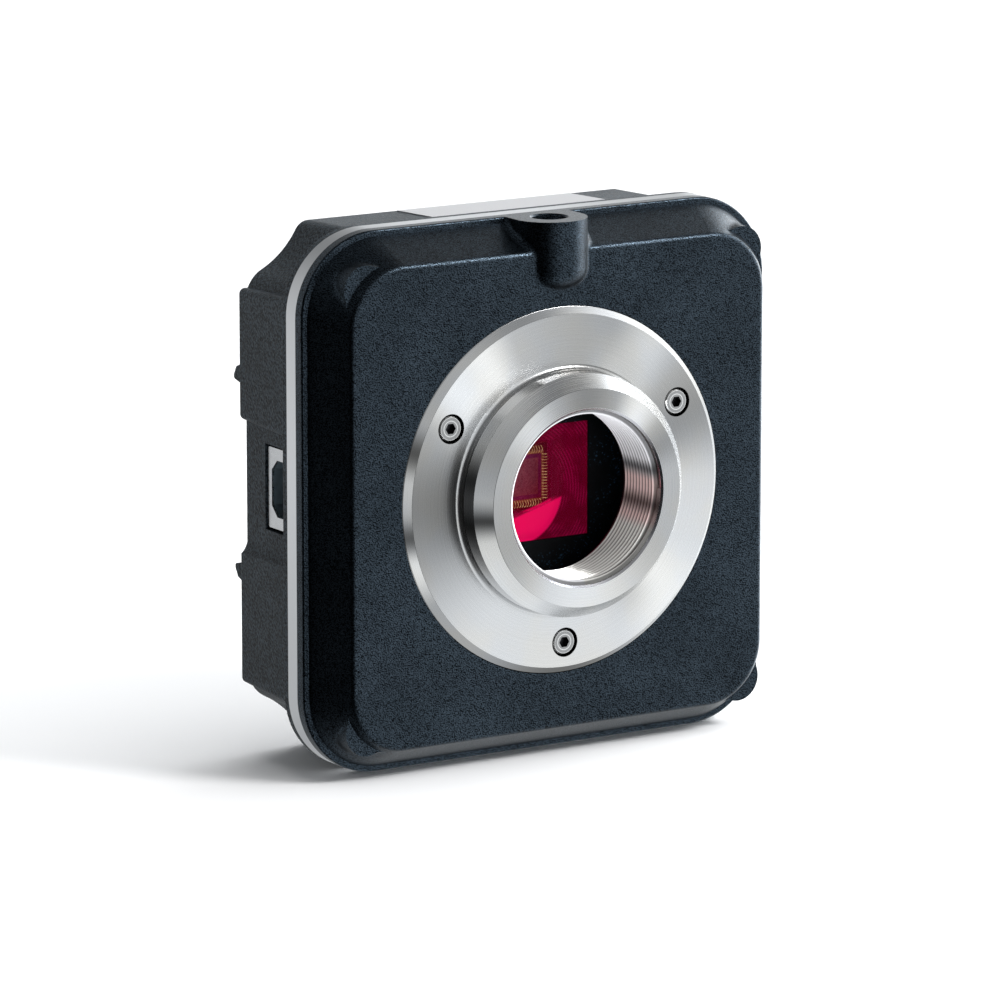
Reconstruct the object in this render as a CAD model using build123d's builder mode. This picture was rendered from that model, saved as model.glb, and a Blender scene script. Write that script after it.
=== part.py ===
from build123d import *
import os
from math import cos, radians, sin, tan

os.makedirs("parts", exist_ok=True)

# A square camera body for C-mount lenses. The lens axis is Y and the lens seat is the plane
# Y = 0. The sensor looks towards -Y, Z is up, and every size is in millimetres.

# Lens mount, turned in one piece
thread_dia = 25.4
thread_end = 9.8
entry_step = 0.3
entry_depth = 1.9
entry_bevel = 0.3
seat_width = 3.15
collar_bevel_width = 1.9
collar_bevel_depth = 2.4
collar_height = 6.0
collar_foot_radius = 0.9
flange_width = 9.15
flange_thickness = 3.2
flange_proud = 1.0
flange_bevel = 0.95
spigot_wall = 2.3

# Socket head screws of the lens mount
mount_screw_count = 3
mount_screw_start = 30
mount_screw_inset = 4.6
mount_screw_dia = 2.0
mount_head_dia = 3.8
mount_head_height = 2.0
mount_screw_length = 4.6
mount_hex_width = 1.5
mount_hex_depth = 1.0
head_pocket_dia = 4.4
head_sink = 0.15

# Body outline, shared by the front lip, the trim ring and the rear lip
body_width = 80.1
body_corner = 12.3

# Front housing: raised plate, sloped band and lip
plate_inset = 4.55
plate_corner = 9.0
plate_edge_radius = 1.0
plate_wall = 3.4
slope_depth = 6.6
land_width = 0.9
foot_corner = 11.6
front_lip_depth = 1.75
lip_edge_radius = 0.35
mount_land_margin = 1.8
mount_land_wall = 2.3
corner_boss_dia = 7.1
corner_boss_inset = 7.55
corner_boss_drop = 1.4
corner_blend = 1.6

# Tripod boss on the top edge of the front housing
tripod_boss_dia = 11.2
tripod_boss_setback = 3.4
tripod_boss_height = 10.2
tripod_boss_round = 3.0
tripod_blend = 1.0
tripod_hole_dia = 5.2
tripod_hole_depth = 8.4
tripod_mouth_bevel = 0.25

# Bright trim ring clamped between the housings, and the tongue that locates it
trim_depth = 2.7
trim_wall = 2.7
tongue_wall = 1.2
tongue_depth = 1.3
ring_gap = 0.1

# Rear housing
rear_lip_depth = 1.35
shell_depth = 15.1
shell_top_inset = 1.45
shell_side_inset = 2.75
shell_draft = 2.3
shell_wall = 2.4
scallop_radius = 14.1
scallop_side_overhang = 0.85
scallop_top_overhang = 4.55
top_shoulder_radius = 2.5
side_shoulder_radius = 5.0
rear_edge_radius = 0.35
pad_proud = 1.05
pad_spacing = 20.0
pad_end_inset = 10.55
pad_edge_radius = 0.9
pad_ramp = 2.3
pad_foot_sink = 0.06
rib_width = 3.3
rib_top_width = 1.8
rib_height = 2.8
rib_edge_radius = 0.5
upper_rib_z = 16.7
lower_rib_z = -13.0
rib_lean = 0.65
rib_end_inset = 0.6

# Housing screws, one in each corner, driven from the rear
housing_screw_inset = 9.6
housing_screw_dia = 2.5
housing_head_dia = 4.5
housing_head_height = 2.5
housing_post_dia = 6.4
housing_head_pocket_dia = 4.9
housing_head_pocket_depth = 3.6
housing_bite = 5.2
housing_hex_width = 2.0
housing_hex_depth = 1.3

# Sensor stack
sensor_plane = 17.9
die_width = 7.8
die_height = 7.5
die_thickness = 0.5
package_width = 14.0
package_floor = 0.9
package_rim_step = 0.55
package_cavity_width = 10.4
package_cavity_height = 10.0
cover_width = 12.6
cover_thickness = 0.5
filter_width = 16.9
filter_thickness = 1.1
filter_front = 13.1
filter_gap = 0.1
filter_ledge = 0.9
holder_wall = 1.8
holder_front_wall = 2.2
dust_ring_gap = 0.2
dust_ring_wall = 1.0
holder_corner = 2.0
holder_ear_dia = 5.0
holder_ear_height = 4.0
dust_ring_inset = 0.3
holder_screw_dia = 1.6
holder_screw_length = 5.0
holder_head_dia = 2.8
holder_head_height = 1.0
sensor_seal_thickness = 0.8

# Circuit board and what it carries
board_inset = 10.05
board_corner = 8.0
board_thickness = 1.6
board_post_inset = 5.5
board_post_dia = 5.6
board_screw_dia = 2.0
board_screw_length = 5.4
board_head_dia = 3.6
board_head_height = 1.4
board_hole_dia = 2.3

# Square peripheral socket on the left side
socket_height = 12.0
socket_depth = 11.0
socket_length = 16.0
socket_centre_z = 1.0
socket_sink = 0.1
socket_rear_inset = 6.4
socket_gap = 0.4
socket_sheet = 0.35
socket_mouth_width = 8.45
socket_mouth_depth = 7.78
socket_mouth_bevel = 1.55
socket_frame = 0.9
socket_mouth_length = 9.0
tongue_block_width = 5.6
tongue_block_thickness = 3.2
tongue_block_sink = 1.0
contact_width = 0.8
contact_thickness = 0.3
contact_length = 6.5
contact_spacing = 2.5

# Heat path from the processor into the rear housing
processor_width = 15.0
processor_thickness = 1.4
thermal_pad_thickness = 1.0
thermal_pad_inset = 0.5
pedestal_width = 16.0

# Parts on the circuit board: sizes, and places measured from the lens axis
memory_width = 9.0
memory_height = 12.5
memory_thickness = 1.1
memory_x = 17.0
memory_spacing = 20.0
link_width = 9.0
link_thickness = 1.0
link_x = -12.0
link_z = -14.0
flash_width = 5.2
flash_height = 6.0
flash_thickness = 1.7
flash_x = -5.5
flash_z = -22.0
crystal_width = 3.2
crystal_height = 5.0
crystal_thickness = 0.9
crystal_x = -13.0
crystal_z = 12.0
coil_width = 4.2
coil_thickness = 2.0
coil_z = 21.5
coil_pitch = 6.0
regulator_width = 3.0
regulator_thickness = 1.0
regulator_x = 9.5
regulator_z = -21.5
regulator_pitch = 5.0
capacitor_count = 11
capacitor_width = 1.6
capacitor_height = 0.9
capacitor_thickness = 0.9
capacitor_pitch = 4.0
rear_capacitor_z = 25.0
front_capacitor_z = -24.0

# Blank label on the top of the rear housing
label_width = 30.2
label_length = 12.8
label_thickness = 0.15
label_centre_x = 3.3
label_rear_inset = 1.0

# General clearances
flange_gap = 0.15
screw_gap = 0.15
thread_floor = 0.6
join_overlap = 0.2

# Stations along the lens axis, each measured from the lens seat
plate_y = collar_height + flange_proud
foot_y = plate_y + slope_depth
trim_front_y = foot_y + front_lip_depth
trim_rear_y = trim_front_y + trim_depth
shell_front_y = trim_rear_y + rear_lip_depth
shell_rear_y = shell_front_y + shell_depth
flange_back_y = collar_height + flange_thickness
cavity_front_y = plate_y + plate_wall
land_back_y = flange_back_y + mount_land_wall
board_front_y = sensor_plane + die_thickness + package_floor
board_rear_y = board_front_y + board_thickness
rear_wall_y = shell_rear_y - shell_wall

# Diameters of the lens mount, from the thread outwards
entry_dia = thread_dia + 2 * entry_step
seat_dia = entry_dia + 2 * seat_width
collar_dia = seat_dia + 2 * collar_bevel_width
flange_dia = collar_dia + 2 * flange_width
spigot_dia = thread_dia + 2 * spigot_wall
mount_screw_circle = flange_dia - 2 * mount_screw_inset
mount_land_dia = flange_dia + 2 * mount_land_margin

# Widths and places that follow from the ones above
plate_width = body_width - 2 * plate_inset
shell_height = body_width - 2 * shell_top_inset
shell_width = body_width - 2 * shell_side_inset
scallop_spacing_x = body_width + 2 * scallop_side_overhang
scallop_spacing_z = body_width + 2 * scallop_top_overhang
pad_inner_edge = pad_spacing / 2
pad_outer_edge = body_width / 2 - pad_end_inset
corner_boss_spacing = body_width - 2 * corner_boss_inset
housing_screw_spacing = body_width - 2 * housing_screw_inset
board_width = body_width - 2 * board_inset
board_post_spacing = board_width - 2 * board_post_inset
dust_ring_inner = spigot_dia + 2 * dust_ring_gap
dust_ring_outer = dust_ring_inner + 2 * dust_ring_wall
holder_width = dust_ring_outer + 2 * dust_ring_inset
foot_width = body_width - 2 * land_width
slope_rate = (foot_width - plate_width) / 2 / slope_depth
draft_growth = tan(radians(shell_draft)) * shell_depth


def station(y):
    """A sketch plane across the lens axis at Y = y, with its x along X and its y along Z."""
    return Plane(origin=(0, y, 0), x_dir=(1, 0, 0), z_dir=(0, -1, 0))


def finish(piece, name):
    """Label a finished piece and write it."""
    piece.part.label = name
    export_step(piece.part, f"parts/{name}.step")


def corners(spacing):
    """The four corners of a square pattern."""
    half = spacing / 2
    return [(x, z) for x in (-half, half) for z in (-half, half)]


def shell_outline(growth, inset):
    """Rear shell outline without its pads: straight sides between four scooped corners."""
    side = shell_width / 2 + growth - inset
    top = shell_height / 2 + growth - inset
    with BuildSketch(mode=Mode.PRIVATE) as outline:
        Rectangle(2 * side, 2 * top)
        with GridLocations(scallop_spacing_x, scallop_spacing_z, 2, 2):
            Circle(scallop_radius + inset, mode=Mode.SUBTRACT)
        fillet(outline.vertices().filter_by(lambda v: abs(v.X) > side - 0.01), side_shoulder_radius)
        fillet(outline.vertices().filter_by(lambda v: abs(v.Y) > top - 0.01), top_shoulder_radius)
    return outline.sketch


def pad_outline(lower, growth):
    """Section of one raised pad on the +X side, from inside the wall out to its face."""
    side = shell_width / 2 + growth
    face = side + pad_proud
    root = side - shell_wall / 2
    inner = pad_inner_edge - growth
    outer = pad_outer_edge + growth
    ramp_foot = (side - pad_foot_sink, pad_ramp - inner)
    with BuildSketch(mode=Mode.PRIVATE) as outline:
        if lower:
            with BuildLine():
                Polyline(
                    (face, -inner),
                    (face, -outer),
                    (root, -outer),
                    (root, pad_ramp - inner),
                    ramp_foot,
                )
                TangentArc(ramp_foot, (face, -inner), tangent=(0, -1))
            make_face()
        else:
            Polygon((face, inner), (face, outer), (root, outer), (root, inner), align=None)
        ends = outline.vertices().filter_by(lambda v: abs(v.X - face) < 0.01)
        fillet(ends.sort_by(Axis.Y)[0] if lower else ends, pad_edge_radius)
    return outline.sketch


# Lens mount: flange, collar, seat and threaded bore
with BuildPart() as lens_mount:
    with BuildSketch(Plane.XY) as mount_section:
        with BuildLine():
            Polyline(
                (entry_dia / 2, 0),
                (seat_dia / 2, 0),
                (collar_dia / 2, collar_bevel_depth),
                (collar_dia / 2, collar_height),
                (flange_dia / 2 - flange_bevel, collar_height),
                (flange_dia / 2, collar_height + flange_bevel),
                (flange_dia / 2, flange_back_y),
                (spigot_dia / 2, flange_back_y),
                (spigot_dia / 2, thread_end),
                (thread_dia / 2, thread_end),
                (thread_dia / 2, entry_depth),
                (entry_dia / 2, entry_depth),
                close=True,
            )
        make_face()
        foot = mount_section.vertices().filter_by(
            lambda v: abs(v.X - collar_dia / 2) < 0.01 and abs(v.Y - collar_height) < 0.01
        )
        fillet(foot, collar_foot_radius)
        mouth = mount_section.vertices().filter_by(
            lambda v: abs(v.X - entry_dia / 2) < 0.01 and abs(v.Y) < 0.01
        )
        chamfer(mouth, entry_bevel)
    revolve(axis=Axis.Y)
    with BuildSketch(station(collar_height)):
        with PolarLocations(mount_screw_circle / 2, mount_screw_count, start_angle=mount_screw_start):
            Circle(head_pocket_dia / 2)
    extrude(amount=-(mount_head_height + head_sink), mode=Mode.SUBTRACT)
    with BuildSketch(station(collar_height)):
        with PolarLocations(mount_screw_circle / 2, mount_screw_count, start_angle=mount_screw_start):
            Circle(mount_screw_dia / 2 + screw_gap)
    extrude(amount=-flange_thickness, mode=Mode.SUBTRACT)
finish(lens_mount, "lens_mount")


def socket_screw(y, dia, length, head_dia, head_height, hex_width, hex_depth, towards):
    """Section of a socket head screw on the lens axis, head at y, shank going towards +1 or -1."""
    with BuildPart(mode=Mode.PRIVATE) as screw:
        with BuildSketch(station(y)):
            Circle(head_dia / 2)
        extrude(amount=-towards * head_height)
        rim = screw.edges().filter_by(GeomType.CIRCLE).sort_by(Axis.Y)
        chamfer(rim[0] if towards > 0 else rim[-1], head_height * 0.1)
        with BuildSketch(station(y)):
            RegularPolygon(hex_width / 2, 6, major_radius=False)
        extrude(amount=-towards * hex_depth, mode=Mode.SUBTRACT)
        with BuildSketch(station(y + towards * head_height)):
            Circle(dia / 2)
        extrude(amount=-towards * length)
    return screw.part


# Three cap screws that hold the lens mount down
head_top_y = collar_height + head_sink
mount_screw = socket_screw(
    head_top_y, mount_screw_dia, mount_screw_length,
    mount_head_dia, mount_head_height, mount_hex_width, mount_hex_depth, 1,
)
with BuildPart() as mount_screws:
    for index in range(mount_screw_count):
        angle = radians(mount_screw_start + 360 / mount_screw_count * index)
        x = mount_screw_circle / 2 * cos(angle)
        z = mount_screw_circle / 2 * sin(angle)
        add(mount_screw.moved(Location((x, 0, z))))
finish(mount_screws, "mount_screws")

# Tripod boss body, joined to the front housing below
tripod_y = plate_y + tripod_boss_setback
tripod_top_z = body_width / 2
tripod_bottom_z = tripod_top_z - tripod_boss_height
with BuildPart() as tripod_boss:
    with BuildSketch(Plane.XY.offset(tripod_bottom_z)):
        with Locations((0, tripod_y)):
            Circle(tripod_boss_dia / 2)
        with Locations((0, (tripod_y + trim_front_y) / 2)):
            Rectangle(tripod_boss_dia, trim_front_y - tripod_y)
    extrude(amount=tripod_boss_height)
    with BuildSketch(station(trim_front_y)):
        Rectangle(4 * body_width, 4 * body_width)
    extrude(amount=-body_width, mode=Mode.SUBTRACT)
    boss_foot = tripod_boss.edges().group_by(Axis.Z)[0].sort_by(Axis.Y)[0]
    fillet(boss_foot, tripod_boss_round)

# Round bosses on the corners of the sloped band, joined to the front housing below
with BuildPart() as corner_bosses:
    with BuildSketch(station(trim_front_y)):
        with Locations(*corners(corner_boss_spacing)):
            Circle(corner_boss_dia / 2)
    extrude(amount=trim_front_y - plate_y - corner_boss_drop)

# Front housing casting
with BuildPart() as front_housing:
    with BuildSketch(station(trim_front_y)):
        RectangleRounded(body_width, body_width, body_corner)
    extrude(amount=front_lip_depth)
    fillet(front_housing.edges().group_by(Axis.Y)[0], lip_edge_radius)
    with BuildSketch(station(foot_y)):
        RectangleRounded(foot_width, foot_width, foot_corner)
    with BuildSketch(station(plate_y)):
        RectangleRounded(plate_width, plate_width, plate_corner)
    loft(ruled=True)
    fillet(front_housing.edges().group_by(Axis.Y)[0], plate_edge_radius)
    # tripod boss and corner bosses, blended into the sloped band
    add(tripod_boss.part)
    slope_seam = front_housing.edges().filter_by(GeomType.BSPLINE).filter_by(
        lambda e: abs(e.center().X) < tripod_boss_dia / 2 + tripod_blend
        and e.center().Z > plate_width / 2 - plate_edge_radius
    )
    fillet(slope_seam, tripod_blend)
    add(corner_bosses.part)
    boss_reach = corner_boss_spacing / 2
    corner_seams = front_housing.edges().filter_by(GeomType.BSPLINE).filter_by(
        lambda e: abs(e.center().X) > boss_reach
        and abs(e.center().Z) > boss_reach
        and e.center().Y > plate_y + 2 * corner_boss_drop
    )
    fillet(corner_seams, corner_blend)
    # cavity behind the plate and the sloped band
    cavity_rear = body_width - 2 * (trim_wall + ring_gap + tongue_wall)
    cavity_front = cavity_rear - 2 * slope_rate * (trim_front_y - cavity_front_y)
    with BuildSketch(station(trim_front_y)):
        RectangleRounded(cavity_rear, cavity_rear, plate_corner)
    with BuildSketch(station(cavity_front_y)):
        RectangleRounded(cavity_front, cavity_front, plate_corner * 0.7)
    loft(ruled=True, mode=Mode.SUBTRACT)
    # round land behind the flange pocket
    with BuildSketch(station(land_back_y)):
        Circle(mount_land_dia / 2)
    extrude(amount=land_back_y - plate_y - plate_edge_radius)
    # inner halves of the corner bosses, and posts for the housing screws
    add(corner_bosses.part)
    with BuildSketch(station(trim_front_y)):
        with Locations(*corners(housing_screw_spacing)):
            Circle(housing_post_dia / 2)
    extrude(amount=trim_front_y - plate_y - corner_boss_drop)
    # posts that carry the circuit board
    with BuildSketch(station(board_front_y)):
        with Locations(*corners(board_post_spacing)):
            Circle(board_post_dia / 2)
    extrude(amount=board_front_y - cavity_front_y + join_overlap)
    # tongue that locates the trim ring
    tongue_outer = body_width - 2 * (trim_wall + ring_gap)
    tongue_inner = tongue_outer - 2 * tongue_wall
    with BuildSketch(station(trim_front_y)):
        RectangleRounded(tongue_outer, tongue_outer, body_corner - trim_wall)
        RectangleRounded(tongue_inner, tongue_inner, plate_corner, mode=Mode.SUBTRACT)
    extrude(amount=-tongue_depth)
    # the inner half of the tripod boss closes its hole off from the cavity
    add(tripod_boss.part)
    # flange pocket and lens bore
    with BuildSketch(station(plate_y)):
        Circle(flange_dia / 2 + flange_gap)
    extrude(amount=-(flange_thickness - flange_proud), mode=Mode.SUBTRACT)
    with BuildSketch(station(plate_y)):
        Circle(spigot_dia / 2 + flange_gap)
    extrude(amount=-body_width, mode=Mode.SUBTRACT)
    # tapped holes for the mount screws
    with BuildSketch(station(flange_back_y)):
        with PolarLocations(mount_screw_circle / 2, mount_screw_count, start_angle=mount_screw_start):
            Circle(mount_screw_dia / 2)
    extrude(amount=-mount_land_wall, mode=Mode.SUBTRACT)
    # blind tapped holes for the housing screws
    with BuildSketch(station(trim_front_y)):
        with Locations(*corners(housing_screw_spacing)):
            Circle(housing_screw_dia / 2)
    extrude(amount=housing_bite + thread_floor, mode=Mode.SUBTRACT)
    # tapped holes for the board screws
    with BuildSketch(station(board_front_y)):
        with Locations(*corners(board_post_spacing)):
            Circle(board_screw_dia / 2)
    extrude(amount=board_screw_length, mode=Mode.SUBTRACT)
    # tripod thread
    with BuildSketch(Plane.XY.offset(tripod_top_z)):
        with Locations((0, tripod_y)):
            Circle(tripod_hole_dia / 2)
    extrude(amount=-tripod_hole_depth, mode=Mode.SUBTRACT)
    mouth = front_housing.edges().filter_by(GeomType.CIRCLE).filter_by(
        lambda e: abs(e.radius - tripod_hole_dia / 2) < 0.01 and e.center().Z > tripod_top_z - 0.01
    )
    chamfer(mouth, tripod_mouth_bevel)
finish(front_housing, "front_housing")

# Bright trim ring
with BuildPart() as trim_ring:
    with BuildSketch(station(trim_rear_y)):
        RectangleRounded(body_width, body_width, body_corner)
        ring_inner = body_width - 2 * trim_wall
        RectangleRounded(ring_inner, ring_inner, body_corner - trim_wall, mode=Mode.SUBTRACT)
    extrude(amount=trim_depth)
finish(trim_ring, "trim_ring")

# Raised pads on both sides of the rear housing, joined to it below
with BuildPart() as side_pads:
    for lower in (False, True):
        with BuildSketch(station(shell_rear_y)):
            add(pad_outline(lower, 0))
        with BuildSketch(station(shell_front_y)):
            add(pad_outline(lower, draft_growth))
        loft(ruled=True)
    fillet(side_pads.edges().group_by(Axis.Y)[-1], rear_edge_radius)
    mirror(about=Plane.YZ)


# Rear housing casting
def drafted(y):
    """How far the drafted shell has grown at Y = y, measured from its rear face."""
    return tan(radians(shell_draft)) * (shell_rear_y - y)


socket_rear_y = shell_rear_y - socket_rear_inset
socket_front_y = socket_rear_y - socket_depth
socket_face_x = -(shell_width / 2 - socket_sink)
post_front_y = trim_front_y + ring_gap
pedestal_front_y = board_rear_y + processor_thickness + thermal_pad_thickness
rib_reach = shell_width / 2 + pad_proud - rib_end_inset

with BuildPart() as rear_housing:
    with BuildSketch(station(shell_front_y)):
        RectangleRounded(body_width, body_width, body_corner)
    extrude(amount=rear_lip_depth)
    fillet(rear_housing.edges().group_by(Axis.Y)[-1], lip_edge_radius)
    with BuildSketch(station(shell_rear_y)):
        add(shell_outline(0, 0))
    with BuildSketch(station(shell_front_y)):
        add(shell_outline(draft_growth, 0))
    loft(ruled=True)
    fillet(rear_housing.edges().group_by(Axis.Y)[-1], rear_edge_radius)
    add(side_pads.part)
    # cavity
    with BuildSketch(station(rear_wall_y)):
        add(shell_outline(drafted(rear_wall_y), shell_wall))
    with BuildSketch(station(trim_rear_y)):
        add(shell_outline(drafted(trim_rear_y), shell_wall))
    loft(ruled=True, mode=Mode.SUBTRACT)
    # posts for the housing screws
    with BuildSketch(station(rear_wall_y + join_overlap)):
        with Locations(*corners(housing_screw_spacing)):
            Circle(housing_post_dia / 2)
    extrude(amount=rear_wall_y + join_overlap - post_front_y)
    # pedestal that takes the heat of the processor
    with BuildSketch(station(rear_wall_y + join_overlap)):
        Rectangle(pedestal_width, pedestal_width)
    extrude(amount=rear_wall_y + join_overlap - pedestal_front_y)
    # two ribs across the rear face
    for height, side in ((upper_rib_z, 1), (lower_rib_z, -1)):
        with BuildSketch(Plane.YZ.offset(-rib_reach)):
            with Locations((shell_rear_y, height)):
                rib = Polygon(
                    (-join_overlap, side * rib_width / 2),
                    (rib_height * rib_lean, side * rib_top_width / 2),
                    (rib_height, -side * rib_top_width / 2),
                    (-join_overlap, -side * rib_width / 2),
                    align=None,
                )
            fillet(rib.vertices().sort_by(Axis.X)[-2:], rib_edge_radius)
        extrude(amount=2 * rib_reach)
    # screw holes and their head pockets
    with BuildSketch(station(shell_rear_y)):
        with Locations(*corners(housing_screw_spacing)):
            Circle(housing_screw_dia / 2 + screw_gap)
    extrude(amount=shell_rear_y - trim_front_y, mode=Mode.SUBTRACT)
    with BuildSketch(station(shell_rear_y)):
        with Locations(*corners(housing_screw_spacing)):
            Circle(housing_head_pocket_dia / 2)
    extrude(amount=housing_head_pocket_depth, mode=Mode.SUBTRACT)
    # window for the peripheral socket, behind the lip and through the side wall
    window_height = socket_height + 2 * socket_gap
    with BuildSketch(Plane.XY.offset(socket_centre_z - window_height / 2)):
        window_rear_y = socket_rear_y + socket_gap
        under_lip_x = socket_face_x - socket_gap / 2
        with BuildLine():
            Polyline(
                (under_lip_x, trim_rear_y),
                (under_lip_x, shell_front_y),
                (-body_width / 2, shell_front_y),
                (-body_width / 2, window_rear_y),
                (socket_face_x + 2 * shell_wall, window_rear_y),
                (socket_face_x + 2 * shell_wall, trim_rear_y),
                close=True,
            )
        make_face()
    extrude(amount=window_height, mode=Mode.SUBTRACT)
finish(rear_housing, "rear_housing")

# Housing screws
head_seat_y = shell_rear_y - housing_head_pocket_depth
housing_screw = socket_screw(
    head_seat_y + housing_head_height, housing_screw_dia,
    head_seat_y - trim_front_y + housing_bite,
    housing_head_dia, housing_head_height, housing_hex_width, housing_hex_depth, -1,
)
with BuildPart() as housing_screws:
    for x, z in corners(housing_screw_spacing):
        add(housing_screw.moved(Location((x, 0, z))))
finish(housing_screws, "housing_screws")

# Filter glass in front of the sensor
with BuildPart() as filter_glass:
    with BuildSketch(station(filter_front + filter_thickness)):
        Rectangle(filter_width, filter_width)
    extrude(amount=filter_thickness)
finish(filter_glass, "filter_glass")

# Holder that carries the filter over the sensor
holder_rear_y = board_front_y - sensor_seal_thickness
ear_offset = holder_width / 2 + holder_ear_dia / 2 - holder_corner / 2
with BuildPart() as filter_holder:
    with BuildSketch(station(holder_rear_y)):
        RectangleRounded(holder_width, holder_width, holder_corner)
    extrude(amount=holder_rear_y - filter_front)
    with BuildSketch(station(holder_rear_y)):
        inner_width = holder_width - 2 * holder_wall
        RectangleRounded(inner_width, inner_width, holder_corner / 2)
    extrude(amount=holder_rear_y - filter_front - holder_front_wall, mode=Mode.SUBTRACT)
    with BuildSketch(station(filter_front)):
        recess_width = filter_width + 2 * filter_gap
        Rectangle(recess_width, recess_width)
    extrude(amount=-filter_thickness, mode=Mode.SUBTRACT)
    with BuildSketch(station(filter_front)):
        opening_width = filter_width - 2 * filter_ledge
        Rectangle(opening_width, opening_width)
    extrude(amount=-holder_front_wall, mode=Mode.SUBTRACT)
    with BuildSketch(station(board_front_y)):
        for sign in (-1, 1):
            with Locations((0, sign * ear_offset)):
                Circle(holder_ear_dia / 2)
            with Locations((0, sign * (ear_offset + holder_width / 2) / 2)):
                Rectangle(holder_ear_dia, ear_offset - holder_width / 2 + holder_corner)
        inner_width = holder_width - holder_wall
        Rectangle(inner_width, inner_width, mode=Mode.SUBTRACT)
    extrude(amount=holder_ear_height)
    with BuildSketch(station(board_front_y)):
        Rectangle(holder_width, holder_width)
    extrude(amount=sensor_seal_thickness, mode=Mode.SUBTRACT)
    with BuildSketch(station(board_front_y)):
        with Locations((0, -ear_offset), (0, ear_offset)):
            Circle(holder_screw_dia / 2)
    extrude(amount=holder_screw_length - board_thickness, mode=Mode.SUBTRACT)
finish(filter_holder, "filter_holder")

# Foam ring between the front housing and the holder
with BuildPart() as dust_ring:
    with BuildSketch(station(filter_front)):
        Circle(dust_ring_outer / 2)
        Circle(dust_ring_inner / 2, mode=Mode.SUBTRACT)
    extrude(amount=filter_front - land_back_y)
finish(dust_ring, "dust_ring")

# Foam frame between the holder and the circuit board
with BuildPart() as sensor_seal:
    with BuildSketch(station(board_front_y)):
        RectangleRounded(holder_width, holder_width, holder_corner)
        inner_width = holder_width - 2 * holder_wall
        RectangleRounded(inner_width, inner_width, holder_corner / 2, mode=Mode.SUBTRACT)
    extrude(amount=sensor_seal_thickness)
finish(sensor_seal, "sensor_seal")

# Sensor: ceramic package, silicon die and cover glass
package_front_y = sensor_plane - package_rim_step
with BuildPart() as sensor_package:
    with BuildSketch(station(board_front_y)):
        Rectangle(package_width, package_width)
    extrude(amount=board_front_y - package_front_y)
    with BuildSketch(station(sensor_plane + die_thickness)):
        Rectangle(package_cavity_width, package_cavity_height)
    extrude(amount=die_thickness + package_rim_step, mode=Mode.SUBTRACT)
finish(sensor_package, "sensor_package")

with BuildPart() as sensor_die:
    with BuildSketch(station(sensor_plane + die_thickness)):
        Rectangle(die_width, die_height)
    extrude(amount=die_thickness)
finish(sensor_die, "sensor_die")

with BuildPart() as sensor_cover:
    with BuildSketch(station(package_front_y)):
        Rectangle(cover_width, cover_width)
    extrude(amount=cover_thickness)
finish(sensor_cover, "sensor_cover")

# Circuit board, notched on the left for the socket
notch_height = socket_height + 2 * socket_gap
socket_back_x = socket_face_x + socket_length
with BuildPart() as circuit_board:
    with BuildSketch(station(board_rear_y)):
        RectangleRounded(board_width, board_width, board_corner)
        notch_length = board_width / 2 + socket_back_x + socket_gap
        with Locations((-(board_width - notch_length) / 2, socket_centre_z)):
            Rectangle(notch_length, notch_height, mode=Mode.SUBTRACT)
        with Locations(*corners(board_post_spacing)):
            Circle(board_hole_dia / 2, mode=Mode.SUBTRACT)
        with Locations((0, -ear_offset), (0, ear_offset)):
            Circle(holder_screw_dia / 2 + screw_gap, mode=Mode.SUBTRACT)
    extrude(amount=board_thickness)
finish(circuit_board, "circuit_board")


def pan_screw(dia, length, head_dia, head_height):
    """A round headed screw whose head stands on the rear of the circuit board."""
    with BuildPart(mode=Mode.PRIVATE) as screw:
        with BuildSketch(station(board_rear_y + head_height)):
            Circle(head_dia / 2)
        extrude(amount=head_height)
        fillet(screw.edges().sort_by(Axis.Y)[-1], head_height / 3)
        with BuildSketch(station(board_rear_y)):
            Circle(dia / 2)
        extrude(amount=length)
        with BuildSketch(station(board_rear_y + head_height)):
            Rectangle(head_dia * 0.6, head_dia * 0.15)
            Rectangle(head_dia * 0.15, head_dia * 0.6)
        extrude(amount=head_height / 2, mode=Mode.SUBTRACT)
    return screw.part


# Screws that hold the circuit board to the front housing
board_screw = pan_screw(board_screw_dia, board_screw_length, board_head_dia, board_head_height)
with BuildPart() as board_screws:
    for x, z in corners(board_post_spacing):
        add(board_screw.moved(Location((x, 0, z))))
finish(board_screws, "board_screws")

# Screws that hold the filter holder to the circuit board
holder_screw = pan_screw(
    holder_screw_dia, holder_screw_length - holder_head_height, holder_head_dia, holder_head_height
)
with BuildPart() as holder_screws:
    for z in (-ear_offset, ear_offset):
        add(holder_screw.moved(Location((0, 0, z))))
finish(holder_screws, "holder_screws")


def board_part(name, places, width, height, thickness, side):
    """Boxes soldered to one side of the circuit board, as one node of separate solids."""
    with BuildPart() as chips:
        face = board_rear_y + thickness if side > 0 else board_front_y
        with BuildSketch(station(face)):
            with Locations(*places):
                Rectangle(width, height)
        extrude(amount=thickness)
    finish(chips, name)


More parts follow.
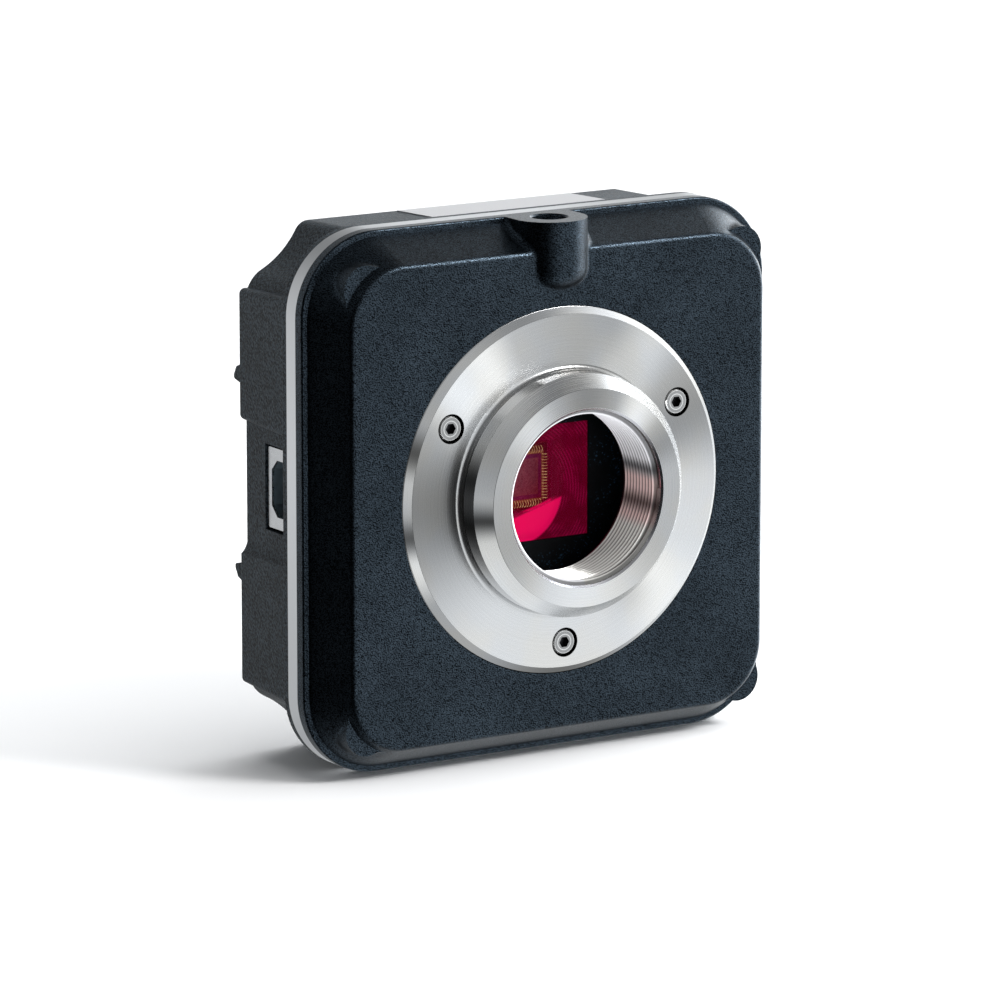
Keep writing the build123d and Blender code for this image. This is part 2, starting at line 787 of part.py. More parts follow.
board_part("processor", [(0, 0)], processor_width, processor_width, processor_thickness, 1)
board_part(
    "memory_chips", [(memory_x, memory_spacing / 2), (memory_x, -memory_spacing / 2)],
    memory_width, memory_height, memory_thickness, 1,
)
board_part("link_chip", [(link_x, link_z)], link_width, link_width, link_thickness, 1)
board_part("boot_flash", [(flash_x, flash_z)], flash_width, flash_height, flash_thickness, 1)
board_part(
    "clock_crystal", [(crystal_x, crystal_z)],
    crystal_width, crystal_height, crystal_thickness, 1,
)
board_part(
    "power_coils", [(step * coil_pitch, coil_z) for step in (-1, 1, 2)],
    coil_width, coil_width, coil_thickness, 1,
)
board_part(
    "voltage_regulators", [(regulator_x + side * regulator_pitch / 2, regulator_z) for side in (-1, 1)],
    regulator_width, regulator_width, regulator_thickness, 1,
)
capacitor_row = [(step - (capacitor_count - 1) / 2) * capacitor_pitch for step in range(capacitor_count)]
board_part(
    "rear_capacitors", [(x, rear_capacitor_z) for x in capacitor_row],
    capacitor_width, capacitor_height, capacitor_thickness, 1,
)
board_part(
    "front_capacitors", [(x, front_capacitor_z) for x in capacitor_row],
    capacitor_width, capacitor_height, capacitor_thickness, -1,
)

# Pad that fills the gap between the processor and the pedestal
with BuildPart() as thermal_pad:
    with BuildSketch(station(pedestal_front_y)):
        pad_width = processor_width - 2 * thermal_pad_inset
        Rectangle(pad_width, pad_width)
    extrude(amount=thermal_pad_thickness)
finish(thermal_pad, "thermal_pad")

# Peripheral socket: sheet metal shell, moulded insert and its contacts
socket_mid_y = (socket_front_y + socket_rear_y) / 2
mouth_rear_y = socket_rear_y - socket_frame
mouth_front_y = mouth_rear_y - socket_mouth_depth
mouth_mid_y = (mouth_front_y + mouth_rear_y) / 2


def socket_plane(x):
    """A sketch plane across the socket at X = x, with its x along Y and its y along Z."""
    return Plane(origin=(x, 0, 0), x_dir=(0, 1, 0), z_dir=(1, 0, 0))


def socket_mouth():
    """Outline of the mouth: square towards the front, bevelled towards the rear."""
    half = socket_mouth_width / 2
    with BuildSketch(mode=Mode.PRIVATE) as mouth_face:
        Polygon(
            (mouth_front_y, socket_centre_z - half),
            (mouth_rear_y - socket_mouth_bevel, socket_centre_z - half),
            (mouth_rear_y, socket_centre_z - half + socket_mouth_bevel),
            (mouth_rear_y, socket_centre_z + half - socket_mouth_bevel),
            (mouth_rear_y - socket_mouth_bevel, socket_centre_z + half),
            (mouth_front_y, socket_centre_z + half),
            align=None,
        )
    return mouth_face.sketch


with BuildPart() as socket_shell:
    with BuildSketch(socket_plane(socket_face_x)):
        with Locations((socket_mid_y, socket_centre_z)):
            RectangleRounded(socket_depth, socket_height, socket_sheet)
    extrude(amount=socket_length)
    with BuildSketch(socket_plane(socket_face_x + socket_sheet)):
        with Locations((socket_mid_y, socket_centre_z)):
            Rectangle(socket_depth - 2 * socket_sheet, socket_height - 2 * socket_sheet)
    extrude(amount=socket_length, mode=Mode.SUBTRACT)
    with BuildSketch(socket_plane(socket_face_x)):
        add(socket_mouth())
    extrude(amount=socket_sheet, mode=Mode.SUBTRACT)
finish(socket_shell, "socket_shell")

tongue_end_x = socket_face_x + socket_mouth_length
with BuildPart() as socket_insert:
    with BuildSketch(socket_plane(socket_face_x + socket_sheet)):
        with Locations((socket_mid_y, socket_centre_z)):
            Rectangle(socket_depth - 2 * socket_sheet, socket_height - 2 * socket_sheet)
    extrude(amount=socket_length - 2 * socket_sheet)
    with BuildSketch(socket_plane(socket_face_x)):
        add(socket_mouth())
    extrude(amount=socket_mouth_length, mode=Mode.SUBTRACT)
    with BuildSketch(socket_plane(socket_face_x + tongue_block_sink)):
        with Locations((mouth_mid_y, socket_centre_z)):
            Rectangle(tongue_block_thickness, tongue_block_width)
    extrude(amount=socket_mouth_length - tongue_block_sink)
finish(socket_insert, "socket_insert")

with BuildPart() as socket_contacts:
    contact_start_x = tongue_end_x - contact_length
    contact_offset = (tongue_block_thickness + contact_thickness) / 2
    with BuildSketch(socket_plane(contact_start_x)):
        for side in (-1, 1):
            for row in (-1, 1):
                place = (mouth_mid_y + side * contact_offset, socket_centre_z + row * contact_spacing / 2)
                with Locations(place):
                    Rectangle(contact_thickness, contact_width)
    extrude(amount=contact_length)
finish(socket_contacts, "socket_contacts")

# Blank label on the drafted top face of the rear housing
label_mid_y = shell_rear_y - label_rear_inset - label_length / 2
label_mid_z = shell_height / 2 + drafted(label_mid_y)
label_plane = Plane(
    origin=(label_centre_x, label_mid_y, label_mid_z),
    x_dir=(1, 0, 0),
    z_dir=(0, sin(radians(shell_draft)), cos(radians(shell_draft))),
)
with BuildPart() as top_label:
    with BuildSketch(label_plane):
        Rectangle(label_width, label_length)
    extrude(amount=label_thickness)
finish(top_label, "top_label")
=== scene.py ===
import math

import bmesh
import bpy
from mathutils import Matrix, Vector


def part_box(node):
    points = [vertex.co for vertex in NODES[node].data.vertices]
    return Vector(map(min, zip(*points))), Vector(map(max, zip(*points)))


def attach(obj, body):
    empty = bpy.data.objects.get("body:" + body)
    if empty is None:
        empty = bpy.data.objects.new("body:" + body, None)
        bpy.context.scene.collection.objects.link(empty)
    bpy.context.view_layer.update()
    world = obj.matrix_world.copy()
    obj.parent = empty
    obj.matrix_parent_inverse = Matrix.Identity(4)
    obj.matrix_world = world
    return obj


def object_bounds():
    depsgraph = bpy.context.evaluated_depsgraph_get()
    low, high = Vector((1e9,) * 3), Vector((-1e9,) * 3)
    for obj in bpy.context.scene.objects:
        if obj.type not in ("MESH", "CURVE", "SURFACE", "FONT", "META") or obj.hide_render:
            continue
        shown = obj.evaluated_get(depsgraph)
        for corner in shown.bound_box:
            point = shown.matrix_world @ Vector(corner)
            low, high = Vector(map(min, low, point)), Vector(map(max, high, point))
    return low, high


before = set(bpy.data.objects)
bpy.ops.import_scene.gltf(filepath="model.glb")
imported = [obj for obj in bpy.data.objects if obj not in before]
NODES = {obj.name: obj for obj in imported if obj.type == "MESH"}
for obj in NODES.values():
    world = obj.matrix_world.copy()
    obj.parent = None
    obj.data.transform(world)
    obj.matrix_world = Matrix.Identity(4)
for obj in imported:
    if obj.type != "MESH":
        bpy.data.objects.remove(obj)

CAD_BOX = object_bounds()
MM = 0.001


# Shader graphs. A Sock is an output that can be used in Python sums.
class Sock:
    def __init__(self, tree, out):
        self.tree = tree
        self.out = out

    def math(self, kind, *terms):
        node = self.tree.nodes.new("ShaderNodeMath")
        node.operation = kind
        for slot, term in zip(node.inputs, terms):
            plug(self.tree, slot, term)
        return Sock(self.tree, node.outputs[0])

    def __add__(self, other):
        return self.math("ADD", self, other)

    def __sub__(self, other):
        return self.math("SUBTRACT", self, other)

    def __rsub__(self, other):
        return self.math("SUBTRACT", other, self)

    def __mul__(self, other):
        return self.math("MULTIPLY", self, other)

    def __truediv__(self, other):
        return self.math("DIVIDE", self, other)

    def __pow__(self, other):
        return self.math("POWER", self, other)

    def __gt__(self, other):
        return self.math("GREATER_THAN", self, other)

    def __lt__(self, other):
        return self.math("LESS_THAN", self, other)

    def __neg__(self):
        return self.math("MULTIPLY", self, -1.0)

    def __abs__(self):
        return self.math("ABSOLUTE", self)

    __radd__ = __add__
    __rmul__ = __mul__

    def root(self):
        return self.math("SQRT", self)

    def top(self, other):
        return self.math("MAXIMUM", self, other)

    def least(self, other):
        return self.math("MINIMUM", self, other)

    def fade(self, low, high, to_low=0.0, to_high=1.0):
        """Goes smoothly from to_low at low to to_high at high."""
        node = self.tree.nodes.new("ShaderNodeMapRange")
        node.interpolation_type = "SMOOTHSTEP"
        for slot, term in zip(node.inputs, (self, low, high, to_low, to_high)):
            plug(self.tree, slot, term)
        return Sock(self.tree, node.outputs[0])


def plug(tree, slot, term):
    if isinstance(term, Sock):
        tree.links.new(term.out, slot)
    else:
        slot.default_value = term


class Graph:
    """The nodes of one material or of the world."""

    def __init__(self, tree):
        self.tree = tree

    def node(self, kind, out=0, props=None, **inputs):
        """Any node: props are its settings, inputs its sockets by name."""
        node = self.tree.nodes.new(kind)
        for key, value in (props or {}).items():
            setattr(node, key, value)
        for key, value in inputs.items():
            plug(self.tree, node.inputs[key.replace("_", " ")], value)
        return Sock(self.tree, node.outputs[out])

    def split(self, vector):
        node = self.tree.nodes.new("ShaderNodeSeparateXYZ")
        plug(self.tree, node.inputs[0], vector)
        return [Sock(self.tree, node.outputs[index]) for index in range(3)]

    def join(self, x, y, z):
        return self.node("ShaderNodeCombineXYZ", X=x, Y=y, Z=z)

    def vector(self, kind, *terms, scale=None, out=0):
        node = self.tree.nodes.new("ShaderNodeVectorMath")
        node.operation = kind
        for slot, term in zip(node.inputs, terms):
            plug(self.tree, slot, term)
        if scale is not None:
            plug(self.tree, node.inputs["Scale"], scale)
        return Sock(self.tree, node.outputs[out])

    def blend(self, factor, low, high):
        node = self.tree.nodes.new("ShaderNodeMix")
        node.data_type = "RGBA"
        node.clamp_factor = True
        plug(self.tree, node.inputs[0], factor)
        for slot, color in ((node.inputs[6], low), (node.inputs[7], high)):
            plug(self.tree, slot, color if isinstance(color, Sock) else (*color, 1.0))
        return Sock(self.tree, node.outputs[2])


class Paint(Graph):
    """One material and its graph, with object coordinates in millimetres."""

    def __init__(self, name, color, metallic=0.0, roughness=0.5, **constants):
        self.mat = bpy.data.materials.new(name)
        self.mat.use_nodes = True
        super().__init__(self.mat.node_tree)
        self.shader = self.tree.nodes["Principled BSDF"]
        self.set("Base Color", (*color, 1.0))
        self.set("Metallic", metallic)
        self.set("Roughness", roughness)
        for key, value in constants.items():
            self.set(key.replace("_", " "), value)
        place = self.node("ShaderNodeTexCoord", "Object")
        self.mm = self.vector("SCALE", place, scale=1.0 / MM)
        self.x, self.y, self.z = self.split(self.mm)
        self.r = (self.x * self.x + self.z * self.z).root()
        self.clock = self.x.math("ARCTAN2", self.x, self.z) / (2 * math.pi) + 0.5

    def set(self, name, value):
        plug(self.tree, self.shader.inputs[name], value)

    def noise(self, scale, detail=2.0, rough=0.5, at=None):
        return self.node("ShaderNodeTexNoise", Vector=self.mm if at is None else at,
                         Scale=scale, Detail=detail, Roughness=rough)

    def line_noise(self, scale, detail, along):
        return self.node("ShaderNodeTexNoise", 0, {"noise_dimensions": "1D"},
                         W=along, Scale=scale, Detail=detail)

    def sectors(self, tone, *marks):
        """Painted light and shade round the axis: a tone that goes softly to others, and each mark is
        (hour, spread, tone).

        Hours are those of a clock face seen from the front, and spread is how many hours a
        mark takes to fade out on either side.
        """
        for hour, spread, other in marks:
            gap = abs(self.clock - ((hour + 6.0) % 12.0) / 12.0)
            near = gap.least(1.0 - gap).fade(0.0, spread / 12.0, 1.0, 0.0)
            tone = tone + near * (other - tone)
        return tone

    def bump(self, height, strength, distance_mm):
        self.set("Normal", self.node("ShaderNodeBump", Height=height, Strength=strength,
                                     Distance=distance_mm * MM))

    def turned(self, amount, pitch, tilt=0.0):
        """Tool marks of a piece turned about Y: the normal rocks along the turned profile."""
        normal = self.node("ShaderNodeNewGeometry", "Normal")
        around = self.vector("NORMALIZE", self.join(-self.z, 0.0, self.x))
        along = self.vector("CROSS_PRODUCT", normal, around)
        mark = self.line_noise(1.0 / pitch, 4.0, self.r + self.y) - 0.5
        tilted = self.vector("ADD", normal, self.vector("SCALE", along, scale=mark * amount))
        tilted = self.vector("ADD", tilted, self.join(0.0, -tilt, 0.0))
        self.set("Normal", self.vector("NORMALIZE", tilted))
        return mark


def powder(name, base, grain, depth, rough, low, high, flake, metallic, gloss):
    """Powder coat: a pebbled skin with flake on some crests.

    Each pebble is painted with light and shade, from low on its lower left to high on its upper right.
    """
    paint = Paint(name, base, metallic, rough, Specular_IOR_Level=gloss)
    pebble = paint.noise(1.0 / grain, 2.0, 0.55)
    beside = paint.vector("ADD", paint.mm, (0.45 * grain, 0.2 * grain, 0.5 * grain))
    # painted light and shade on each pebble: lighter on its upper right, darker on its lower left
    pebble_light_shade = (paint.noise(1.0 / grain, 2.0, 0.55, beside) - pebble).fade(-0.1, 0.1, low, high)
    patch = paint.noise(0.12 / grain, 2.0).fade(0.35, 0.65, 0.3, 1.0)
    crest = pebble.fade(0.56, 0.68) * patch
    wear = paint.noise(0.09, 3.0).fade(0.35, 0.7, 0.9, 1.15)
    paint.bump(pebble, 1.0, depth)
    paint.set("Base Color", paint.vector("SCALE", base, scale=pebble_light_shade * wear + crest * flake))
    paint.set("Roughness", pebble.fade(0.3, 0.7, rough + 0.06, rough - 0.06))
    return paint


def metal(name, color, rough, amount, pitch):
    """Turned bright metal."""
    paint = Paint(name, color, 1.0, rough)
    mark = paint.turned(amount, pitch)
    paint.set("Roughness", mark.fade(-0.3, 0.3, rough - 0.06, rough + 0.08))
    tone = paint.noise(0.35, 4.0).fade(0.3, 0.7)
    paint.set("Base Color", paint.blend(tone, tuple(c * 0.93 for c in color), color))
    return paint


def moulded(name, color, rough, grain=0.25, depth=0.02):
    """Moulded plastic with a faint grain and uneven gloss."""
    paint = Paint(name, color, 0.0, rough)
    grain_noise = paint.noise(1.0 / grain, 3.0)
    paint.bump(grain_noise, 0.6, depth)
    patch = paint.noise(0.5, 3.0)
    paint.set("Roughness", patch.fade(0.3, 0.7, rough - 0.08, rough + 0.08))
    dark, light = (tuple(part * share for part in color) for share in (0.8, 1.2))
    paint.set("Base Color", paint.blend(patch, dark, light))
    return paint.mat


def dress(node, mat):
    mesh = NODES[node].data
    if not mesh.materials:
        mesh.materials.append(mat)
    for slot in NODES[node].material_slots:
        slot.material = mat


def piece(name, verts, faces, mat, slot):
    """A new mesh in millimetres of the row frame, riding on the root."""
    mesh = bpy.data.meshes.new(name)
    mesh.from_pydata([Vector(v) * MM for v in verts], [], faces)
    mesh.update()
    return place(name, mesh, mat, slot)


def place(name, mesh, mat, slot):
    obj = bpy.data.objects.new(name, mesh)
    bpy.context.scene.collection.objects.link(obj)
    mesh.materials.clear()
    mesh.materials.append(mat)
    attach(obj, "root")
    return obj


# Camera at the photograph's viewing angle, in millimetres of the row frame
YAW = math.radians(32.323)
PITCH = math.radians(11.703)
DISTANCE = 988.72
SHIFT_ASIDE = -12.72
SHIFT_ABOVE = -0.24
SENSOR_WIDTH = 36.0
PHOTO_PIXELS = 1000.0
FOCAL_PIXELS = 6802.16
ahead = Vector((math.sin(YAW) * math.cos(PITCH), math.cos(YAW) * math.cos(PITCH), -math.sin(PITCH)))
aside = Vector((math.cos(YAW), -math.sin(YAW), 0.0))
above = aside.cross(ahead)
eye = -ahead * DISTANCE + aside * SHIFT_ASIDE + above * SHIFT_ABOVE
camera_data = bpy.data.cameras.new("camera")
camera_data.sensor_width = SENSOR_WIDTH
camera_data.lens = SENSOR_WIDTH * FOCAL_PIXELS / PHOTO_PIXELS
camera_data.clip_start = 0.01
camera = bpy.data.objects.new("camera", camera_data)
bpy.context.scene.collection.objects.link(camera)
turn = Matrix((aside, above, -ahead)).transposed().to_4x4()
camera.matrix_world = Matrix.Translation(eye * MM) @ turn
bpy.context.scene.camera = camera
bpy.context.scene.view_settings.view_transform = "Standard"

# Floor, pale wall round it and studio light
floor_z = CAD_BOX[0][2]
SIDES = 48
REACH = 6.0


def set_piece(name, verts, faces, color):
    """A pale surface that isn't part of the object and doesn't show in its gloss."""
    mesh = bpy.data.meshes.new(name)
    mesh.from_pydata(verts, [], faces)
    obj = bpy.data.objects.new(name, mesh)
    bpy.context.scene.collection.objects.link(obj)
    obj.visible_glossy = False
    paint = Paint(name, color, 0.0, 0.9, Specular_IOR_Level=0.0)
    paint.set("Base Color", paint.blend(paint.noise(0.02), tuple(c * 0.99 for c in color), color))
    mesh.materials.append(paint.mat)
    return obj, paint


turns = [2 * math.pi * index / SIDES for index in range(SIDES)]
rim = [(REACH * math.cos(a), REACH * math.sin(a)) for a in turns]
set_piece("floor", [(x, y, floor_z) for x, y in rim], [tuple(range(SIDES))], (0.93, 0.93, 0.935))
wall, wall_paint = set_piece(
    "backdrop", [(x, y, floor_z + rise) for rise in (0.0, REACH) for x, y in rim],
    [(i, (i + 1) % SIDES, SIDES + (i + 1) % SIDES, SIDES + i) for i in range(SIDES)], (0.9, 0.9, 0.9))
wall_paint.set("Emission Color", (1.0, 1.0, 1.0, 1.0))
wall_paint.set("Emission Strength", 0.9)
wall.visible_diffuse = False
wall.visible_transmission = False
wall.visible_shadow = False

world = bpy.data.worlds.new("studio")
bpy.context.scene.world = world
world.use_nodes = True
sky = Graph(world.node_tree)
way = sky.node("ShaderNodeTexCoord", "Generated")


def lobe(x, y, z, edge, amount):
    """Light that grows towards one direction of the room."""
    aim = Vector((x, y, z)).normalized()
    return sky.vector("DOT_PRODUCT", way, tuple(aim), out=1).fade(edge, 1.0) * amount


glow = (lobe(0.5, -0.83, -0.25, 0.2, 0.7)
        + lobe(-0.55, 0.8, 0.0, 0.3, 0.34) + lobe(0.6, 0.75, 0.0, 0.6, 0.3)
        + lobe(0.95, 0.2, 0.08, 0.62, 4.6) + lobe(0.3, 0.1, -0.95, 0.6, 0.4) + 0.28)
upward = sky.split(way)[2].fade(0.35, 0.85, 1.0, 0.6)
dark_side = tuple(Vector((-0.85, -0.42, -0.2)).normalized())
shade = sky.vector("DOT_PRODUCT", way, dark_side, out=1).fade(0.5, 0.84, 1.0, 0.04)
backdrop = world.node_tree.nodes["Background"]
backdrop.inputs[0].default_value = (0.95, 0.98, 1.0, 1.0)
plug(world.node_tree, backdrop.inputs[1], glow * shade * upward)


def lamp(name, kind, at, aim, power):
    light = bpy.data.lights.new(name, kind)
    light.energy = power
    obj = bpy.data.objects.new(name, light)
    bpy.context.scene.collection.objects.link(obj)
    obj.location = at
    obj.rotation_euler = (Vector(aim) - Vector(at)).to_track_quat("-Z", "Y").to_euler()
    return obj


overhead = lamp("overhead", "SUN", (0.5, 0.02, 1.0), (0, 0, 0), 2.1)
overhead.data.angle = math.radians(76)
overhead.visible_glossy = False
key = lamp("key", "AREA", (0.55, -0.6, 0.72), (0, 0.01, 0), 8.0)
key.data.shape = "DISK"
key.data.size = 0.3

# Materials of the CAD nodes
front_coat = powder("front_coat", (0.0225, 0.0305, 0.039), grain=0.2, depth=0.03, rough=0.34,
                    low=0.0, high=2.1, flake=3.2, metallic=1.0, gloss=0.5)
rear_coat = powder("rear_coat", (0.021, 0.027, 0.0325), grain=0.42, depth=0.14, rough=0.45,
                   low=0.3, high=1.8, flake=0.6, metallic=0.0, gloss=0.16)
dress("front_housing", front_coat.mat)
dress("rear_housing", rear_coat.mat)

# Sizes of the turned mount, in millimetres from its axis and from the lens seat
FLANGE_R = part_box("lens_mount")[1][0] / MM
RIM_R = FLANGE_R - 0.93
FLANGE_Y = 6.02
FILLET_R = 18.85
FILLET_Y = 5.15
COLLAR_Y = 2.43
ENTRY_R = 13.32
BORE_R = 13.1
SCREWS_R = FLANGE_R - 4.6
SCREW_POCKET_R = 2.24
SCREW_HOURS = (2, 6, 10)


def screw_gap(paint):
    """Distance to the axis of the nearest of the three mount screws."""
    gaps = []
    for hour in SCREW_HOURS:
        angle = math.radians(30 * hour)
        across = paint.x - SCREWS_R * math.sin(angle)
        up = paint.z - SCREWS_R * math.cos(angle)
        gaps.append((across ** 2.0 + up ** 2.0).root())
    return gaps[0].least(gaps[1]).least(gaps[2])


# Turned steel mount: each of its faces has soft light and dark sectors of painted reflection
steel = Paint("mount_steel", (0.8, 0.8, 0.79), 1.0, 0.26)
flange = steel.sectors(0.77, (12.6, 3.3, 0.41), (9.0, 1.9, 0.24), (10.4, 0.6, 0.93), (10.85, 0.5, 0.95),
                       (1.2, 0.6, 0.7), (2.2, 0.9, 0.32), (4.5, 0.8, 0.95))
inner_flange = steel.sectors(flange, (9.0, 0.8, 0.2), (10.4, 0.8, 1.0), (1.0, 0.8, 0.6), (4.9, 0.6, 0.6))
rim_face = steel.sectors(0.42, (6.0, 1.3, 0.16), (8.35, 0.5, 0.85), (8.7, 0.3, 0.12), (9.25, 0.5, 0.6),
                         (9.6, 0.35, 0.1), (11.5, 0.9, 0.24), (1.05, 1.3, 1.0), (4.2, 1.4, 0.7))
collar = steel.sectors(0.6, (6.4, 1.2, 0.9), (8.7, 1.3, 0.02), (9.4, 0.7, 0.04), (11.3, 0.6, 0.95),
                       (12.0, 0.6, 0.18), (1.5, 1.1, 1.0), (5.3, 0.4, 0.4))
cone = steel.sectors(0.88, (10.0, 1.8, 0.38), (8.8, 0.4, 0.08), (12.3, 0.3, 0.7), (1.3, 0.9, 1.0),
                     (5.2, 0.8, 0.47), (6.3, 0.6, 1.0))
seat = steel.sectors(0.5, (6.1, 2.2, 0.84), (8.4, 1.5, 0.42), (10.6, 0.8, 0.74), (12.0, 1.1, 0.27),
                     (1.2, 0.6, 0.9), (2.1, 0.6, 0.33))
fillet = steel.sectors(0.7, (12.5, 1.8, 0.2))
near_collar = (steel.r - 18.0).fade(0.0, 8.0, 1.0, 0.0)
flange = flange + near_collar * (inner_flange - flange)
slanted = (steel.y > 0.05) * (steel.y < FILLET_Y - 0.05) * (steel.r > 14.0)
slanted = slanted * steel.x.fade(-16.0, -4.0, 1.0, 0.0)
tilt = slanted * (1.5 + (steel.y > COLLAR_Y) * 2.5) + (steel.r > RIM_R) * 2.0
# painted reflections of each face, a painted highlight on the bore entry, and painted shade inside the bore
# and in the screw pockets
painted_light_and_shade = steel.blend(steel.y > 0.03, seat, cone)
painted_light_and_shade = steel.blend(steel.y > COLLAR_Y, painted_light_and_shade, collar)
painted_light_and_shade = steel.blend(steel.y > FILLET_Y, painted_light_and_shade, fillet)
painted_light_and_shade = steel.blend(steel.r > FILLET_R, painted_light_and_shade, flange)
painted_light_and_shade = steel.blend((steel.r > RIM_R) * (steel.y > FLANGE_Y), painted_light_and_shade, rim_face)
painted_light_and_shade = steel.blend(steel.r < ENTRY_R, painted_light_and_shade, (0.95, 0.95, 1.0))
painted_light_and_shade = steel.blend((steel.r < BORE_R) * (steel.y > 0.4), painted_light_and_shade, (0.3, 0.28, 0.27))
painted_light_and_shade = steel.blend((screw_gap(steel) < SCREW_POCKET_R) * (steel.y > FLANGE_Y), painted_light_and_shade, (0.03, 0.03, 0.03))
mark = steel.turned(0.04, 0.2, tilt)
fine = steel.line_noise(6.5, 3.0, steel.r + steel.y).fade(0.3, 0.7, 0.96, 1.03)
tint = steel.blend(steel.noise(0.12, 2.0).fade(0.35, 0.65), (1.0, 0.985, 0.955), (0.975, 0.985, 1.0))
steel.set("Base Color", steel.vector("MULTIPLY", steel.vector("SCALE", painted_light_and_shade, scale=fine), tint))
steel.set("Roughness", mark.fade(-0.3, 0.3, 0.22, 0.32))
dress("lens_mount", steel.mat)

# Screws: a grey head with a painted highlight on its rim and a painted highlight line round its socket, and
# painted shade in the hexagon
HEAD_R = 1.62
LINE_R = 1.15
HEXAGON_R = 1.0
HEXAGON_Y = 6.25
mount_screw = Paint("mount_screw_steel", (0.5, 0.5, 0.49), 1.0, 0.28)
off_axis = screw_gap(mount_screw)
head_highlight = (off_axis > HEAD_R) + (abs(off_axis - LINE_R) < 0.07)
highlighted_head = mount_screw.blend(head_highlight, (0.36, 0.36, 0.36), (0.8, 0.8, 0.79))
hexagon_shade = (mount_screw.y > HEXAGON_Y) * (off_axis < HEXAGON_R)
mount_screw.set("Base Color", mount_screw.blend(hexagon_shade, highlighted_head, (0.05, 0.05, 0.055)))
mount_screw.set("Roughness", mount_screw.noise(2.0, 2.0).fade(0.3, 0.7, 0.22, 0.34))
dress("mount_screws", mount_screw.mat)
dress("board_screws", metal("screw_steel", (0.62, 0.62, 0.61), 0.3, 0.2, 0.3).mat)

# Trim ring: satin, with painted light and shade in sectors round it, and painted shade in the gaps along
# both edges
TRIM_MIDDLE_Y = 16.7
trim = Paint("trim_satin", (0.9, 0.91, 0.93), 1.0, 0.36)
trim_line = trim.line_noise(9.0, 3.0, trim.y + trim.noise(0.2, 1.0) * 0.2)
trim.bump(trim_line, 0.5, 0.01)
trim_gap_shade = abs(trim.y - TRIM_MIDDLE_Y).fade(1.22, 1.34)
trim_painted_light = trim.sectors(0.75, (9.3, 1.6, 0.96), (10.6, 0.5, 0.5), (1.1, 1.2, 0.42))
trim_tone = trim.vector("MULTIPLY", trim_painted_light, (0.98, 0.985, 1.0))
trim.set("Base Color", trim.blend(trim_gap_shade, trim_tone, (0.03, 0.03, 0.035)))
trim.set("Roughness", trim_line.fade(0.3, 0.7, 0.3, 0.42))
dress("trim_ring", trim.mat)

black_oxide = moulded("black_screw", (0.02, 0.02, 0.022), 0.38)
dress("housing_screws", black_oxide)
dress("holder_screws", black_oxide)

holder = Paint("holder_black", (0.002, 0.003, 0.004), 0.0, 0.45, Specular_IOR_Level=0.12)
fleck = holder.noise(2.8, 2.0).fade(0.58, 0.72) * holder.noise(0.25, 2.0).fade(0.42, 0.6)
holder.set("Base Color", holder.blend(fleck, (0.002, 0.003, 0.004), (0.02, 0.05, 0.085)))
holder.bump(holder.noise(4.0, 3.0), 0.8, 0.05)
dress("filter_holder", holder.mat)

# Filter glass: crimson and glowing with painted light, with painted reflections of the thread's rings
# outside a painted pool of light that falls through the bore. In the pool it is bright below a slanted
# edge, with painted highlight streaks, and over the die it is nearly clear.
POOL_X = -3.8
POOL_Z = -1.15
POOL_R = 7.8
EDGE_Z = -3.6
EDGE_SLOPE = 0.295
glass = Paint("filter_coated", (0.3, 0.0, 0.03), 0.0, 0.06, Specular_IOR_Level=0.03, Emission_Strength=1.0)
pool = ((glass.x - POOL_X) ** 2.0 + (glass.z - POOL_Z) ** 2.0).root()
lit = pool.fade(POOL_R - 0.2, POOL_R + 0.25, 1.0, 0.0)
below = (glass.z - glass.x * EDGE_SLOPE - EDGE_Z).fade(-0.2, 0.25, 1.0, 0.0)
thread_ring_reflection = pool.math("SINE", pool * 13.0).fade(-0.6, 1.0)
highlight_streak = glass.line_noise(0.9, 3.0, glass.x).fade(0.35, 0.7)
deep = glass.blend(highlight_streak, (0.055, 0.0, 0.006), (0.15, 0.001, 0.022))
reflected_ring_tone = glass.blend(thread_ring_reflection * glass.noise(0.3, 2.0).fade(0.4, 0.6), (0.07, 0.0, 0.008), (0.17, 0.002, 0.03))
painted_glow_tone = glass.blend(lit, reflected_ring_tone, glass.blend(below, deep, (0.6, 0.003, 0.075)))
glass.set("Emission Color", painted_glow_tone)
glass.set("Base Color", glass.blend(below * lit, (0.06, 0.0, 0.006), (0.3, 0.0, 0.03)))
over_die = glass.x.fade(1.9, 2.3, 1.0, 0.0) * glass.z.fade(-4.2, -3.8) * glass.z.fade(6.0, 6.4, 1.0, 0.0)
glass.set("Alpha", (over_die * (1.0 - below)).fade(0.0, 1.0, 0.8, 0.14))
dress("filter_glass", glass.mat)

cover = Paint("cover_clear", (0.5, 0.05, 0.1), 0.0, 0.03, Alpha=0.1, Specular_IOR_Level=0.1)
cover.set("Roughness", cover.noise(0.6, 2.0).fade(0.3, 0.7, 0.02, 0.05))
dress("sensor_cover", cover.mat)

# Sensor package with a red rim, and a die whose active area is framed by a border and by pads; both are
# tinted crimson as painted light that comes through the filter
RIM_X = 5.2
RIM_Z = 5.0
ACTIVE_EDGE = 2.9
BORDER_EDGE = 3.48
ceramic = Paint("sensor_ceramic", (0.2, 0.03, 0.035), 0.0, 0.5, Specular_IOR_Level=0.1)
within_rim = (abs(ceramic.x) < RIM_X) * (abs(ceramic.z) < RIM_Z)
ceramic_tone = ceramic.blend(ceramic.noise(1.2, 3.0), (0.17, 0.025, 0.03), (0.24, 0.045, 0.04))
ceramic.set("Base Color", ceramic.blend(within_rim, (0.42, 0.03, 0.05), ceramic_tone))
dress("sensor_package", ceramic.mat)

